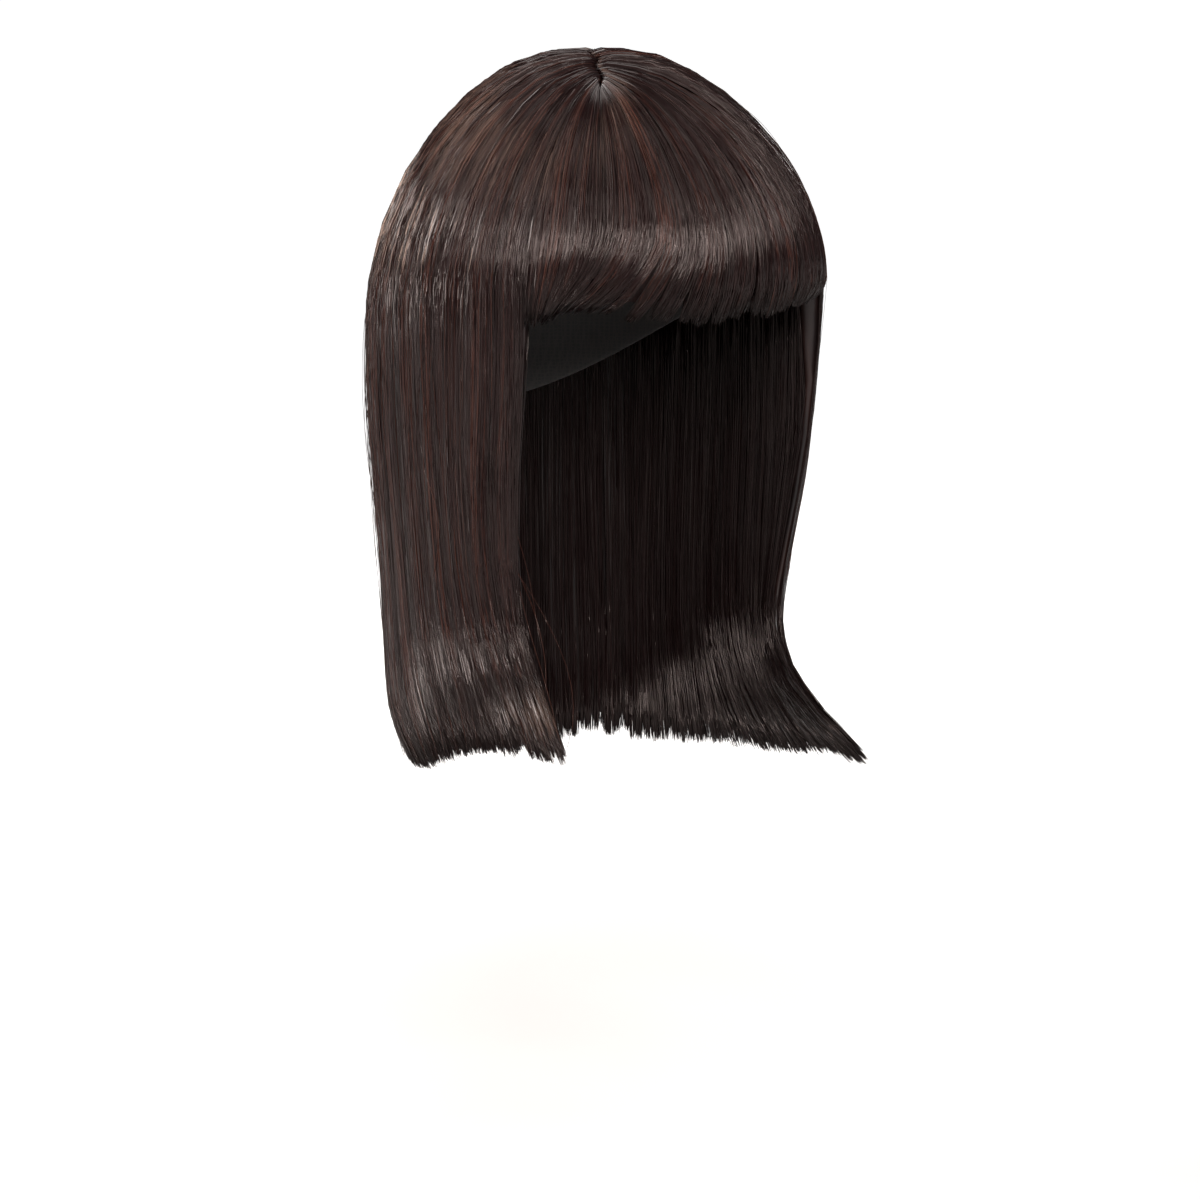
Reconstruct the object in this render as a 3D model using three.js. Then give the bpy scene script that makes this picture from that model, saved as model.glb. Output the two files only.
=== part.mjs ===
// A straight bob wig with a blunt fringe, in millimetres.
// +Z is up, the wearer faces -Y and the wearer's left is +X.
// The origin is the point inside the cap that rests on the top of the head.

import * as THREE from "three";

const { smoothstep, lerp, degToRad, clamp } = THREE.MathUtils;

// The head that the wig is made for
const headHalfWidth = 74;
const headFront = 90; // from the head's upright axis to the forehead
const headBack = 91;
const browDepth = 76; // from the top of the head to its widest level, at the front
const occiputDepth = 111; // and at the back
const headSquareness = 2.2; // exponent of the head's outline seen from above, 2 for an ellipse
const domeSquareness = 1.87; // exponent of its outline seen from the side

// The cap
const capWall = 1.5;
const capClearance = 0.8; // between the cap and the hair on it
const capRim = { front: 74, side: 88, back: 108 }; // degrees down from the crown

// The parting, a short line beside the top of the head
const partingLength = 38;
const partingTurn = -28; // degrees from straight ahead, towards the wearer's right
const partingCentre = new THREE.Vector2(-7, -11);
const partingStripWidth = 5;
const partingStripThickness = 1;
const partingStripTaper = 0.9; // 0 for square ends, 1 for pointed ones
const partingStripClearance = 0.3;
const partingMargin = 1.5; // from the strip to the hair at each side of it
const partingDip = 0.5; // share of the hair's thickness that it starts with there
const partingRise = 0.16; // share of the crown over which it comes up to its thickness

// The hair
const hairThickness = 11.7;
const hairEndThickness = 7;
const frontEdgeThickness = 4.5;
const frontEdgeWidth = 12; // degrees over which the front edges thin
const frontEdgeStart = 0.3; // share of the hanging length over which that begins
const hangLength = 180; // from the back's widest level to the hem
const sectionGap = 0.6; // between neighbouring sections of hair
const fringeDrop = 17; // from the front's widest level to the hem of the fringe
const fringeEndThickness = 5;
const fringeTurnUnder = 3;

// Where the sections meet, in degrees from straight ahead
const fringeCorner = 50;
const backCorner = 112;

// Where the shape of the hanging hair changes, in degrees from straight ahead
const sideTurn = 90;
const earTurn = 128;
const swingEnd = 150; // the hair behind this doesn't swing forward

// The relief that the locks give each section
const grooveDepth = 2;
const grooveFade = { from: 0.05, to: 0.7 }; // shares of the crown between which it comes in
const notchDepth = 6; // how far the gaps between the locks' tips reach up
const fringeNotchDepth = 3;
const lockRoundness = 0.7;

// How the hanging hair is shaped, a row for each level. Level is a share of the way from the widest
// level to the hem. The rest are shares of the widest outline: x and y at the front edge, x at the
// side, how far the side swings forward, and the radius behind the ear and at the back.
const hangingRows = [
  { level: 0.0, edgeX: 1.0, edgeY: 1.0, sideX: 1.0, forward: 0.0, backSide: 1.0, back: 1.0 },
  { level: 0.2, edgeX: 0.99, edgeY: 0.95, sideX: 0.99, forward: 0.0, backSide: 0.99, back: 1.0 },
  { level: 0.4, edgeX: 0.98, edgeY: 0.84, sideX: 0.965, forward: 0.0, backSide: 0.96, back: 0.98 },
  { level: 0.6, edgeX: 0.93, edgeY: 0.72, sideX: 0.93, forward: 0.0, backSide: 0.935, back: 0.96 },
  { level: 0.75, edgeX: 0.88, edgeY: 0.71, sideX: 0.91, forward: 0.01, backSide: 0.925, back: 0.945 },
  { level: 0.88, edgeX: 0.9, edgeY: 0.98, sideX: 0.92, forward: 0.09, backSide: 0.915, back: 0.93 },
  { level: 1.0, edgeX: 1.02, edgeY: 1.5, sideX: 0.96, forward: 0.25, backSide: 0.86, back: 0.89 },
];

// How far down the hem is, as a share of the hanging length, at angles from straight ahead
const hemRows = [
  { angle: -180, drop: 1.0 },
  { angle: -128, drop: 0.985 },
  { angle: -95, drop: 0.91 },
  { angle: -70, drop: 0.87 },
  { angle: -50, drop: 0.86 },
  { angle: 50, drop: 0.935 },
  { angle: 90, drop: 0.975 },
  { angle: 128, drop: 0.99 },
  { angle: 180, drop: 1.0 },
];

// The same for the fringe, as a share of its drop
const fringeHemRows = [
  { angle: -50, drop: 1.15 },
  { angle: -36, drop: 0.8 },
  { angle: -14, drop: 1.03 },
  { angle: 12, drop: 0.94 },
  { angle: 32, drop: 0.8 },
  { angle: 50, drop: 0.88 },
];

// The locks of each section from the wearer's right to left: width against the others, height of
// its ridge as a share of the groove's depth, and length of its tip as a share of the notch's depth
const fringeLocks = [
  { width: 1.1, ridge: 1.0, tip: 1.0 },
  { width: 0.8, ridge: 0.7, tip: 0.6 },
  { width: 1.2, ridge: 0.9, tip: 1.1 },
  { width: 0.9, ridge: 1.1, tip: 0.8 },
  { width: 1.1, ridge: 0.8, tip: 1.3 },
  { width: 0.8, ridge: 1.0, tip: 0.7 },
  { width: 1.2, ridge: 0.8, tip: 1.1 },
  { width: 1.0, ridge: 1.0, tip: 0.9 },
  { width: 0.8, ridge: 0.8, tip: 1.2 },
  { width: 1.1, ridge: 1.0, tip: 0.7 },
];
const rightLocks = [
  { width: 0.9, ridge: 1.0, tip: 0.9 },
  { width: 1.2, ridge: 0.8, tip: 1.2 },
  { width: 0.8, ridge: 1.1, tip: 0.6 },
  { width: 1.1, ridge: 0.8, tip: 0.8 },
  { width: 0.9, ridge: 1.0, tip: 0.9 },
  { width: 0.8, ridge: 0.7, tip: 1.4 },
];
const leftLocks = [
  { width: 0.8, ridge: 0.8, tip: 1.4 },
  { width: 1.0, ridge: 1.0, tip: 0.7 },
  { width: 1.2, ridge: 0.8, tip: 1.1 },
  { width: 0.8, ridge: 1.0, tip: 0.6 },
  { width: 1.1, ridge: 0.9, tip: 1.0 },
  { width: 0.9, ridge: 1.0, tip: 0.8 },
];
const backLocks = [
  { width: 1.0, ridge: 1.0, tip: 0.8 },
  { width: 1.3, ridge: 0.8, tip: 1.2 },
  { width: 0.8, ridge: 1.0, tip: 0.7 },
  { width: 1.1, ridge: 0.7, tip: 1.0 },
  { width: 1.2, ridge: 1.1, tip: 1.2 },
  { width: 0.9, ridge: 0.8, tip: 0.6 },
  { width: 1.1, ridge: 1.0, tip: 1.0 },
  { width: 1.3, ridge: 0.8, tip: 1.3 },
  { width: 0.8, ridge: 1.0, tip: 0.7 },
  { width: 1.1, ridge: 0.8, tip: 1.1 },
  { width: 1.0, ridge: 1.0, tip: 0.9 },
];

// How finely the surfaces are divided
const columnsPerLock = 4;
const crownRows = 8;
const fringeRows = 3;
const hangRows = 11;
const capColumns = 44;
const capRows = 8;
const stripColumns = 3;
const stripRows = 10;
const crownCrowding = 1.15; // over 1 to crowd the rows of the crown towards the parting
const hangCrowding = 1.4; // over 1 to crowd the hanging rows towards the hem, where it bends

const hairInside = capWall + capClearance; // heights above the head
const hairOutside = hairInside + hairThickness;

// A smooth curve through a table's rows
function along(rows, key, column, at) {
  const last = rows.length - 1;
  const x = clamp(at, rows[0][key], rows[last][key]);
  const i = Math.min(
    last - 1,
    rows.findLastIndex((row) => row[key] <= x),
  );
  const slope = (k) => {
    const a = rows[Math.max(0, k - 1)];
    const b = rows[Math.min(last, k + 1)];
    return (b[column] - a[column]) / (b[key] - a[key]);
  };
  const span = rows[i + 1][key] - rows[i][key];
  const t = (x - rows[i][key]) / span;
  const t2 = t * t;
  const t3 = t2 * t;
  return (
    (2 * t3 - 3 * t2 + 1) * rows[i][column] +
    (t3 - 2 * t2 + t) * span * slope(i) +
    (3 * t2 - 2 * t3) * rows[i + 1][column] +
    (t3 - t2) * span * slope(i + 1)
  );
}

// How far out a point is seen from above, 1 at the widest outline for its height above the head
function outwardShare(x, y, lift) {
  const side = Math.abs(x) / (headHalfWidth + lift);
  const ahead = Math.abs(y) / ((y < 0 ? headFront : headBack) + lift);
  return (side ** headSquareness + ahead ** headSquareness) ** (1 / headSquareness);
}

// The widest outline. Angles run from straight ahead towards the wearer's left.
function outline(angle, lift) {
  const ahead = new THREE.Vector2(Math.sin(angle), -Math.cos(angle));
  return ahead.divideScalar(outwardShare(ahead.x, ahead.y, lift));
}

// The height of the widest level, which slopes down from the brow to the back of the head
function widestLevel(y, lift) {
  const depth = (y < 0 ? headFront : headBack) + lift;
  return -lerp(browDepth, occiputDepth, (1 + y / depth) / 2);
}

// A point of the dome above x and y, or below the widest level if under is true
function domePoint(x, y, lift, under = false) {
  const level = widestLevel(y, lift);
  const inward = Math.max(0, 1 - outwardShare(x, y, lift) ** domeSquareness);
  const rise = (lift - level) * inward ** (1 / domeSquareness);
  return new THREE.Vector3(x, y, under ? level - rise : level + rise);
}

const partingAhead = new THREE.Vector2(
  Math.sin(degToRad(partingTurn)),
  -Math.cos(degToRad(partingTurn)),
);

// Where the hair that falls at an angle leaves the parting
function partingRoot(angle) {
  const share = Math.cos(angle - degToRad(partingTurn));
  return partingAhead.clone().multiplyScalar((partingLength / 2) * share).add(partingCentre);
}

// Hair on the crown, with reach from 0 at the parting to 1 at the widest level
function crownPoint(angle, reach, lift) {
  const at = partingRoot(angle).lerp(outline(angle, lift), reach);
  return domePoint(at.x, at.y, lift);
}

// Hair that hangs below the widest level to the hem
function hangPoint(angle, share, hem, lift) {
  const turn = THREE.MathUtils.radToDeg(Math.abs(angle));
  const row = (column) => along(hangingRows, "level", column, share);
  const toSide = smoothstep(turn, fringeCorner, sideTurn);
  const toBackSide = smoothstep(turn, sideTurn, earTurn);
  const toBack = smoothstep(turn, earTurn, 180);
  const behind = lerp(row("backSide"), row("back"), toBack);
  const scaleX = lerp(lerp(row("edgeX"), row("sideX"), toSide), behind, toBackSide);
  const scaleY = lerp(lerp(row("edgeY"), row("sideX"), toSide), behind, toBackSide);
  const swing = toSide * (1 - smoothstep(turn, sideTurn, swingEnd));
  const at = outline(angle, lift);
  const y = at.y * scaleY - row("forward") * (headFront + lift) * swing;
  return new THREE.Vector3(at.x * scaleX, y, lerp(widestLevel(at.y, lift), hem, share));
}

// The fringe below the widest level, which turns under towards the brow
function fringePoint(angle, share, hem, lift) {
  const at = outline(angle, lift - fringeTurnUnder * share ** 2);
  return new THREE.Vector3(at.x, at.y, lerp(widestLevel(at.y, lift), hem, share));
}

// A box with each vertex moved by a function of its place across, outward and down, from 0 to 1
function bentBox(columns, rows, place) {
  const geometry = new THREE.BoxGeometry(1, 1, 1, columns, 1, rows);
  const position = geometry.getAttribute("position");
  for (let i = 0; i < position.count; i++) {
    const across = Math.round((position.getX(i) + 0.5) * columns) / columns;
    const down = Math.round((position.getZ(i) + 0.5) * rows) / rows;
    const at = place(across, position.getY(i) > 0, down);
    position.setXYZ(i, at.x, at.y, at.z);
  }
  geometry.computeVertexNormals();
  return geometry;
}

// One section of hair, from the parting to its hem, with its locks fused side by side
function hairSection({ from, to, locks, rows, hemAt, notch, endThickness, pointAt, frontEdge }) {
  const widths = locks.reduce((sum, lock) => sum + lock.width, 0);
  const partingReach = (partingStripWidth / 2 + partingMargin) / (headHalfWidth + hairOutside);

  function place(across, outside, down) {
    const i = Math.min(locks.length - 1, Math.floor(across * locks.length));
    const within = across * locks.length - i;
    const before = locks.slice(0, i).reduce((sum, lock) => sum + lock.width, 0);
    const share = (before + within * locks[i].width) / widths;
    const ridge = Math.max(0, Math.sin(Math.PI * within)) ** lockRoundness;

    const step = down * (crownRows + rows);
    const onCrown = Math.min(1, step / crownRows) ** crownCrowding;
    const hanging = 1 - (1 - clamp((step - crownRows) / rows, 0, 1)) ** hangCrowding;
    const reach = lerp(partingReach, 1, Math.sin((onCrown * Math.PI) / 2));

    const gap = sectionGap / 2 / (reach * (headHalfWidth + hairOutside));
    const angle = lerp(degToRad(from) + gap, degToRad(to) - gap, share);
    const turn = THREE.MathUtils.radToDeg(angle);

    const rising = smoothstep(onCrown, 0, partingRise);
    const thick = lerp(hairThickness, endThickness, hanging);
    const fromEdge = frontEdge === undefined ? frontEdgeWidth : Math.abs(turn - frontEdge);
    const edged = lerp(frontEdgeThickness, thick, smoothstep(fromEdge, 0, frontEdgeWidth));
    const full = lerp(thick, edged, smoothstep(hanging, 0, frontEdgeStart));
    const grooving = smoothstep(onCrown, grooveFade.from, grooveFade.to);
    const groove = grooveDepth * grooving * (1 - ridge * locks[i].ridge);
    const lift = outside
      ? hairInside + hairThickness * lerp(partingDip, 1, rising) - groove
      : hairInside + (hairThickness - full);

    if (step <= crownRows) return crownPoint(angle, reach, lift);
    const hem = hemAt(turn) + notch * (1 - ridge * locks[i].tip);
    return pointAt(angle, hanging, hem, lift);
  }

  return bentBox(locks.length * columnsPerLock, crownRows + rows, place);
}

function longHair(from, to, locks, frontEdge) {
  return hairSection({
    from,
    to,
    locks,
    frontEdge,
    rows: hangRows,
    notch: notchDepth,
    endThickness: hairEndThickness,
    pointAt: hangPoint,
    hemAt: (turn) => {
      const drop = along(hemRows, "angle", "drop", turn > 180 ? turn - 360 : turn);
      return -occiputDepth - hangLength * drop;
    },
  });
}

function fringe() {
  return hairSection({
    from: -fringeCorner,
    to: fringeCorner,
    locks: fringeLocks,
    rows: fringeRows,
    notch: fringeNotchDepth,
    endThickness: fringeEndThickness,
    pointAt: fringePoint,
    hemAt: (turn) => -browDepth - fringeDrop * along(fringeHemRows, "angle", "drop", turn),
  });
}

// A flat turned disc, bent onto the head: its radius becomes the way down from the crown to the rim,
// and its height the height above the head
function cap() {
  const profile = [];
  for (let row = 0; row <= capRows; row++) profile.push(new THREE.Vector2(row / capRows, 0));
  for (let row = capRows; row >= 0; row--) profile.push(new THREE.Vector2(row / capRows, capWall));
  profile[0].x = 0;
  profile[profile.length - 1].x = 0;

  const geometry = new THREE.LatheGeometry(profile, capColumns);
  const position = geometry.getAttribute("position");
  for (let i = 0; i < position.count; i++) {
    const [x, lift, z] = [position.getX(i), position.getY(i), position.getZ(i)];
    const angle = Math.atan2(x, z);
    const turn = THREE.MathUtils.radToDeg(Math.abs(angle));
    const frontRim = lerp(capRim.front, capRim.side, smoothstep(turn, 0, sideTurn));
    const rim = lerp(frontRim, capRim.back, smoothstep(turn, sideTurn, 180));
    const down = degToRad(rim * Math.hypot(x, z));
    const at = outline(angle, lift).multiplyScalar(Math.sin(down));
    const point = domePoint(at.x, at.y, lift, down > Math.PI / 2);
    position.setXYZ(i, point.x, point.y, point.z);
  }
  geometry.computeVertexNormals();
  return geometry;
}

// The strip that lies on the cap under the parting
function partingStrip() {
  const aside = new THREE.Vector2(-partingAhead.y, partingAhead.x);
  return bentBox(stripColumns, stripRows, (across, outside, down) => {
    const on = 2 * down - 1;
    const taper = Math.sqrt(1 - partingStripTaper * on ** 4);
    const halfWidth = (partingStripWidth / 2) * taper;
    const at = partingCentre
      .clone()
      .addScaledVector(partingAhead, (on * partingLength) / 2)
      .addScaledVector(aside, (2 * across - 1) * halfWidth);
    const lift = capWall + partingStripClearance + (outside ? partingStripThickness : 0);
    return domePoint(at.x, at.y, lift);
  });
}

const hairFinish = new THREE.MeshStandardMaterial({ color: 0x35271f, roughness: 0.42, metalness: 0 });
const capFinish = new THREE.MeshStandardMaterial({ color: 0x1c1918, roughness: 0.9, metalness: 0 });
const stripFinish = new THREE.MeshStandardMaterial({ color: 0x241c1a, roughness: 0.8, metalness: 0 });

const wig = new THREE.Group();

function add(name, geometry, material) {
  const mesh = new THREE.Mesh(geometry, material);
  mesh.name = name;
  wig.add(mesh);
}

add("cap", cap(), capFinish);
add("parting_strip", partingStrip(), stripFinish);
add("fringe", fringe(), hairFinish);
add("side_hair_right", longHair(-backCorner, -fringeCorner, rightLocks, -fringeCorner), hairFinish);
add("side_hair_left", longHair(fringeCorner, backCorner, leftLocks, fringeCorner), hairFinish);
add("back_hair", longHair(backCorner, 360 - backCorner, backLocks), hairFinish);

export default wig;
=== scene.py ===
import bpy
import numpy as np
from mathutils import Matrix, Vector


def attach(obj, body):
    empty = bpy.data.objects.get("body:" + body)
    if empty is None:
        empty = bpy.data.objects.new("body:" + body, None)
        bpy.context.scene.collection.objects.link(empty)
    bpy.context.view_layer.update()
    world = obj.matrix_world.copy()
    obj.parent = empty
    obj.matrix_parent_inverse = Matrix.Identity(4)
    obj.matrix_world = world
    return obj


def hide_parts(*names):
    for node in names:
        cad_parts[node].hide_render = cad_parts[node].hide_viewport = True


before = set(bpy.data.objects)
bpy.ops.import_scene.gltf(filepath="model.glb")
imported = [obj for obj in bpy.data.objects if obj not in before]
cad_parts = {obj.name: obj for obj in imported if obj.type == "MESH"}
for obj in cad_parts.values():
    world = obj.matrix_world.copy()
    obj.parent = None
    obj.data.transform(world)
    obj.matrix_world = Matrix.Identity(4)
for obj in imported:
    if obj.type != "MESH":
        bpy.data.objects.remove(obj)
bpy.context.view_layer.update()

# Floor, light and camera

# A pale sheet far enough below the wig for the hair to hang clear of it, soft lamps round it, and
# the camera at the photograph's angle.
# Lengths here and below are in millimetres, and MM turns them to metres.

MM = 0.001
FLOOR_DEPTH = -470.0
FLOOR_HALF_SIDE = 60000.0
CAMERA_AZIMUTH = np.radians(-33)


def srgb(code, alpha=1.0):
    """A hex colour as linear red, green, blue and alpha."""
    parts = [int(code[i : i + 2], 16) / 255 for i in (1, 3, 5)]
    linear = [p / 12.92 if p <= 0.04045 else ((p + 0.055) / 1.055) ** 2.4 for p in parts]
    return (*linear, alpha)


def add_node(material, kind, settings=None, links=None, **inputs):
    """Adds a node. Settings are its own properties, inputs the values of its sockets, and links the
    sockets that feed them."""
    node = material.node_tree.nodes.new(kind)
    for key, value in (settings or {}).items():
        setattr(node, key, value)
    for key, value in inputs.items():
        node.inputs[key.replace("_", " ")].default_value = value
    for key, source in (links or {}).items():
        material.node_tree.links.new(source, node.inputs[key])
    return node


def new_material(name):
    material = bpy.data.materials.new(name)
    material.use_nodes = True
    material.node_tree.nodes.clear()
    return material


def finish_material(material, shader):
    output = add_node(material, "ShaderNodeOutputMaterial")
    material.node_tree.links.new(shader.outputs[0], output.inputs["Surface"])


# Opal acrylic sheet, cast: a soft pale ground without shine. Its emission is painted glow, nil
# round a point ahead of the wig and rising with distance from it, so that the far floor shows pale.
GLOW_AHEAD = 400.0  # how far towards the camera the middle of the unlit part lies
GLOW_FROM, GLOW_TO = 500.0, 2100.0  # from there
GLOW = 0.95
OPAL_CLOUD_SIZE = 25.0
opal_acrylic = new_material("opal_acrylic_painted_glow")
opal_place = add_node(opal_acrylic, "ShaderNodeTexCoord")
opal_distance = add_node(
    opal_acrylic,
    "ShaderNodeVectorMath",
    {"operation": "DISTANCE"},
    {0: opal_place.outputs["Object"]},
)
opal_distance.inputs[1].default_value = (
    GLOW_AHEAD * MM * np.sin(CAMERA_AZIMUTH),
    -GLOW_AHEAD * MM * np.cos(CAMERA_AZIMUTH),
    FLOOR_DEPTH * MM,
)
# Painted glow: the floor's emission strength, rising with distance; the floor is no lamp
opal_glow = add_node(
    opal_acrylic,
    "ShaderNodeMapRange",
    {"interpolation_type": "SMOOTHSTEP"},
    {"Value": opal_distance.outputs["Value"]},
    From_Min=GLOW_FROM * MM,
    From_Max=GLOW_TO * MM,
    To_Max=GLOW,
)
opal_clouds = add_node(
    opal_acrylic, "ShaderNodeTexNoise", Scale=1 / (OPAL_CLOUD_SIZE * MM), Detail=3.0
)
opal_tone = add_node(
    opal_acrylic,
    "ShaderNodeMix",
    {"data_type": "RGBA"},
    {"Factor": opal_clouds.outputs["Fac"]},
)
opal_tone.inputs["A"].default_value = srgb("#B0B3B5")
opal_tone.inputs["B"].default_value = srgb("#B4B7B9")
finish_material(
    opal_acrylic,
    add_node(
        opal_acrylic,
        "ShaderNodeBsdfPrincipled",
        links={
            "Base Color": opal_tone.outputs["Result"],
            "Emission Strength": opal_glow.outputs["Result"],
        },
        Roughness=0.85,
        Emission_Color=srgb("#FFFFFF"),
    ),
)

floor_mesh = bpy.data.meshes.new("floor")
floor_corners = [
    (x * FLOOR_HALF_SIDE * MM, y * FLOOR_HALF_SIDE * MM, FLOOR_DEPTH * MM)
    for x, y in ((-1, -1), (1, -1), (1, 1), (-1, 1))
]
floor_mesh.from_pydata(floor_corners, [], [(0, 1, 2, 3)])
floor = bpy.data.objects.new("floor", floor_mesh)
bpy.context.collection.objects.link(floor)
floor_mesh.materials.append(opal_acrylic)

CAMERA_ELEVATION = np.radians(8.2)
CAMERA_DISTANCE = 2200.0
PIXELS_PER_MM = 2.38  # at the wig's axis, in a frame 1200 pixels wide
FRAME_PIXELS = 1200
AXIS_PIXEL = 594.0  # column of the photograph that the wig's axis falls on
MIDDLE_HEIGHT = -219.0  # height on the axis that falls on the frame's middle row
SENSOR_WIDTH = 36.0
CLIP_DISTANCE = 100000.0

toward_camera = Vector(
    (
        np.sin(CAMERA_AZIMUTH) * np.cos(CAMERA_ELEVATION),
        -np.cos(CAMERA_AZIMUTH) * np.cos(CAMERA_ELEVATION),
        np.sin(CAMERA_ELEVATION),
    )
)
camera_right = Vector((np.cos(CAMERA_AZIMUTH), np.sin(CAMERA_AZIMUTH), 0))
camera_up = toward_camera.cross(camera_right)
camera_turn = Matrix((camera_right, camera_up, toward_camera)).transposed().to_4x4()
aim = Vector((0, 0, MIDDLE_HEIGHT)) + camera_right * (FRAME_PIXELS / 2 - AXIS_PIXEL) / PIXELS_PER_MM
camera_place = Matrix.Translation((aim + toward_camera * CAMERA_DISTANCE) * MM)
camera_data = bpy.data.cameras.new("camera")
camera_data.sensor_width = SENSOR_WIDTH
camera_data.lens = PIXELS_PER_MM * CAMERA_DISTANCE / FRAME_PIXELS * SENSOR_WIDTH
camera_data.clip_end = CLIP_DISTANCE * MM
camera = bpy.data.objects.new("camera", camera_data)
bpy.context.collection.objects.link(camera)
camera.matrix_world = camera_place @ camera_turn
bpy.context.scene.camera = camera
bpy.context.scene.view_settings.view_transform = "Standard"

LAMP_DISTANCE = 1900.0
LAMP_AIM_HEIGHT = -120.0
LAMP_WHITE, LAMP_WARM, LAMP_LESS_WARM = "#FFFAF7", "#FFD8C2", "#FFDCC8"


def softbox(name, azimuth, elevation, size, watts, colour=LAMP_WHITE):
    """A square lamp that faces the wig from an azimuth and elevation in degrees."""
    turn, tilt = np.radians(azimuth), np.radians(elevation)
    way = Vector((np.sin(turn) * np.cos(tilt), -np.cos(turn) * np.cos(tilt), np.sin(tilt)))
    lamp = bpy.data.lights.new(name, "AREA")
    lamp.shape = "SQUARE"
    lamp.size = size * MM
    lamp.energy = watts
    lamp.color = srgb(colour)[:3]
    holder = bpy.data.objects.new(name, lamp)
    bpy.context.collection.objects.link(holder)
    holder.location = (way * LAMP_DISTANCE + Vector((0, 0, LAMP_AIM_HEIGHT))) * MM
    holder.rotation_euler = way.to_track_quat("Z", "Y").to_euler()


# The small low lamps draw the bands of shine across the hair, and the large high ones fill in
softbox("left_low_softbox", -115, 3, 300, 14)
softbox("left_softbox", -130, 20, 400, 21)
softbox("left_high_softbox", -128, 46, 800, 22, LAMP_WARM)
softbox("left_rim_softbox", -155, 14, 500, 13, LAMP_LESS_WARM)
softbox("front_softbox", -34, 20, 500, 44)
softbox("right_softbox", 4, 19, 500, 30)
softbox("high_softbox", -28, 40, 1000, 22)
softbox("top_softbox", -20, 72, 1000, 12)
softbox("right_rim_softbox", 115, 20, 400, 7)
softbox("back_softbox", 160, 45, 1200, 18)

world = bpy.data.worlds.new("pale_studio")
world.use_nodes = True
background = world.node_tree.nodes["Background"]
background.inputs["Color"].default_value = srgb("#FFFFFF")
background.inputs["Strength"].default_value = 0.18
bpy.context.scene.world = world

# Cap

# The foundation that carries the hair, knitted from black stretch yarn and set to a dome by heat.
# The hair is sewn all over its outside, so only its inside shows, from below.

HEAD_HALF_WIDTH = 74.0
HEAD_FRONT = 90.0
HEAD_BACK = 91.0
BROW_DEPTH = 76.0  # from the top of the cap's inside down to its widest level, at the front
OCCIPUT_DEPTH = 111.0  # and at the back
HEAD_SQUARENESS = 2.2
DOME_SQUARENESS = 1.87
CAP_WALL = 1.5
CAP_RIM_FRONT, CAP_RIM_SIDE, CAP_RIM_BACK = 74.0, 88.0, 108.0  # degrees down from the crown
SIDE_TURN = 90.0
CAP_COLUMNS = 96
CAP_ROWS = 26
CAP_EDGE_ROWS = 4
CAP_EDGE_BULGE = 0.008  # how far the rounded edge goes past the rim, as a share of the way down


def smoothstep(value, low, high):
    share = np.clip((value - low) / (high - low), 0, 1)
    return share * share * (3 - 2 * share)


def lerp(low, high, share):
    return low + (high - low) * share


def outward_share(x, y, lift):
    """How far out a point is seen from above: 1 on the widest outline of the dome that stands lift
    outside the cap's inside."""
    side = np.abs(x) / (HEAD_HALF_WIDTH + lift)
    ahead = np.abs(y) / (np.where(y < 0, HEAD_FRONT, HEAD_BACK) + lift)
    return (side**HEAD_SQUARENESS + ahead**HEAD_SQUARENESS) ** (1 / HEAD_SQUARENESS)


def outline(angle, lift):
    """The widest outline. Angles run from straight ahead towards the wearer's left."""
    x, y = np.sin(angle), -np.cos(angle)
    share = outward_share(x, y, lift)
    return x / share, y / share


def widest_level(y, lift):
    depth = np.where(y < 0, HEAD_FRONT, HEAD_BACK) + lift
    return -lerp(BROW_DEPTH, OCCIPUT_DEPTH, (1 + y / depth) / 2)


def dome_point(x, y, lift, under=False):
    """A point of the dome, mirrored below its widest level where under is set."""
    level = widest_level(y, lift)
    inward = np.maximum(0, 1 - outward_share(x, y, lift) ** DOME_SQUARENESS)
    rise = (lift - level) * inward ** (1 / DOME_SQUARENESS)
    return np.stack([x, y, np.where(under, level - rise, level + rise)], -1)


def cap_point(angle, down_share, lift):
    """A point of the cap, from its crown at 0 to its rim at 1."""
    turn = np.degrees(np.abs(angle))
    front_rim = lerp(CAP_RIM_FRONT, CAP_RIM_SIDE, smoothstep(turn, 0, SIDE_TURN))
    rim = lerp(front_rim, CAP_RIM_BACK, smoothstep(turn, SIDE_TURN, 180))
    down = np.radians(rim * down_share)
    x, y = outline(angle, lift)
    return dome_point(x * np.sin(down), y * np.sin(down), lift, down > np.pi / 2)


def new_mesh_object(name, points, faces, material):
    """Points are in millimetres, and faces are index arrays, one for each number of corners."""
    mesh = bpy.data.meshes.new(name)
    mesh.vertices.add(len(points))
    mesh.vertices.foreach_set("co", (np.asarray(points) * MM).astype(np.float32).ravel())
    corners = np.concatenate([group.ravel() for group in faces])
    sizes = np.concatenate([np.full(len(group), group.shape[1]) for group in faces])
    mesh.loops.add(len(corners))
    mesh.loops.foreach_set("vertex_index", corners.astype(np.int32))
    mesh.polygons.add(len(sizes))
    mesh.polygons.foreach_set("loop_start", (np.cumsum(sizes) - sizes).astype(np.int32))
    mesh.update(calc_edges=True)
    mesh.shade_smooth()
    mesh.materials.append(material)
    thing = bpy.data.objects.new(name, mesh)
    bpy.context.collection.objects.link(thing)
    return thing


def ring_faces(rings, around):
    """Quads between closed rings of points."""
    ring = np.arange(rings - 1)[:, None] * around
    here = np.arange(around)[None, :]
    after = (here + 1) % around
    corners = [ring + here, ring + around + here, ring + around + after, ring + after]
    return np.stack(corners, -1).reshape(-1, 4)


def set_vectors(thing, name, values):
    """Stores a vector for each point, for the material to read."""
    attribute = thing.data.attributes.new(name, "FLOAT_VECTOR", "POINT")
    attribute.data.foreach_set("vector", np.asarray(values, np.float32).ravel())


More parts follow.
